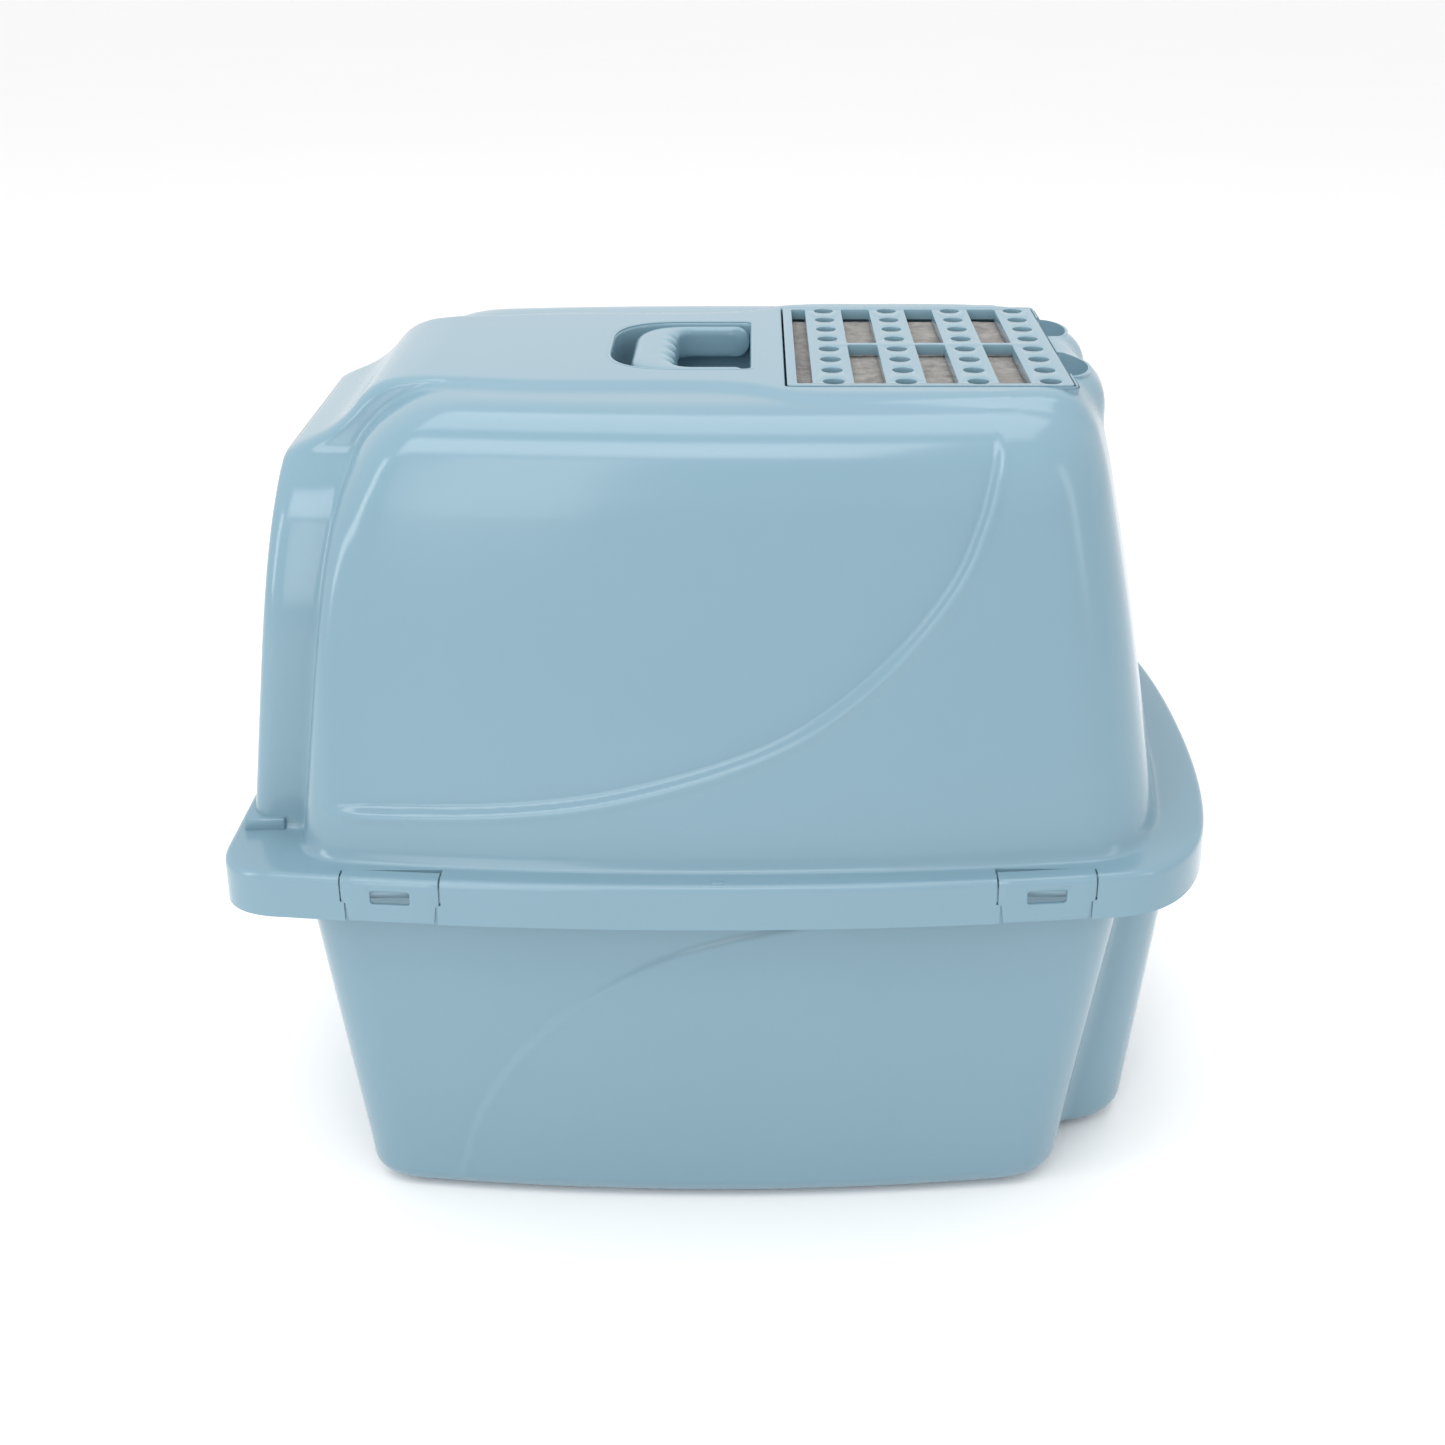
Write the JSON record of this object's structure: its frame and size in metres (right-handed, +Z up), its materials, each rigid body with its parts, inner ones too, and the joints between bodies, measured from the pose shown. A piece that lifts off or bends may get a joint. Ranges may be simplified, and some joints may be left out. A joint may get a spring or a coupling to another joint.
{
  "type": "hooded litter box",
  "caption": "Hooded cat litter box: deep tray, clip-on hood with swing flap, fold-down handle and a vented lid over a filter pad.",
  "frame": {"origin": "on the floor under the middle of the box", "axes": "+X to the rear (vent end), -X to the entry, +Y to the left side, +Z up"},
  "size_m": [0.532, 0.4, 0.463],
  "materials": {
    "blue_plastic": "glossy moulded polypropylene",
    "smoke_plastic": "smoky translucent sheet",
    "filter_felt": "matted fibre felt"
  },
  "bodies": {
    "tray": {"litter_tray": "blue_plastic"},
    "hood": {"hood_shell": "blue_plastic", "carbon_filter": "filter_felt"},
    "flap": {"door_flap": "smoke_plastic"},
    "handle": {"carry_handle": "blue_plastic"},
    "lid": {"vent_lid": "blue_plastic"},
    "clip_front_right": {"clip_front_right": "blue_plastic"},
    "clip_front_left": {"clip_front_left": "blue_plastic"},
    "clip_rear_right": {"clip_rear_right": "blue_plastic"},
    "clip_rear_left": {"clip_rear_left": "blue_plastic"}
  },
  "joints": [
    {"name": "hood_lift", "type": "slide", "parent": "tray", "child": "hood", "axis": [0, 0, 1], "range_m": [0, 0.15]},
    {"name": "flap_swing", "type": "hinge", "parent": "hood", "child": "flap", "pos_m": [-0.2315, 0, 0.396], "axis": [0, 1, 0], "range_deg": [-70, 70]},
    {"name": "handle_fold", "type": "hinge", "parent": "hood", "child": "handle", "pos_m": [0.001, 0, 0.453], "axis": [0, 1, 0], "range_deg": [0, 90]},
    {"name": "lid_open", "type": "hinge", "parent": "hood", "child": "lid", "pos_m": [0.031, 0, 0.46], "axis": [0, -1, 0], "range_deg": [0, 100]},
    {"name": "clip_front_right_open", "type": "hinge", "parent": "hood", "child": "clip_front_right", "pos_m": [-0.174, -0.18499, 0.232], "axis": [-1, 0, 0], "range_deg": [0, 95]},
    {"name": "clip_front_left_open", "type": "hinge", "parent": "hood", "child": "clip_front_left", "pos_m": [-0.174, 0.18499, 0.232], "axis": [1, 0, 0], "range_deg": [0, 95]},
    {"name": "clip_rear_right_open", "type": "hinge", "parent": "hood", "child": "clip_rear_right", "pos_m": [0.161, -0.18354, 0.232], "axis": [-1, 0, 0], "range_deg": [0, 95]},
    {"name": "clip_rear_left_open", "type": "hinge", "parent": "hood", "child": "clip_rear_left", "pos_m": [0.161, 0.18354, 0.232], "axis": [1, 0, 0], "range_deg": [0, 95]}
  ]
}
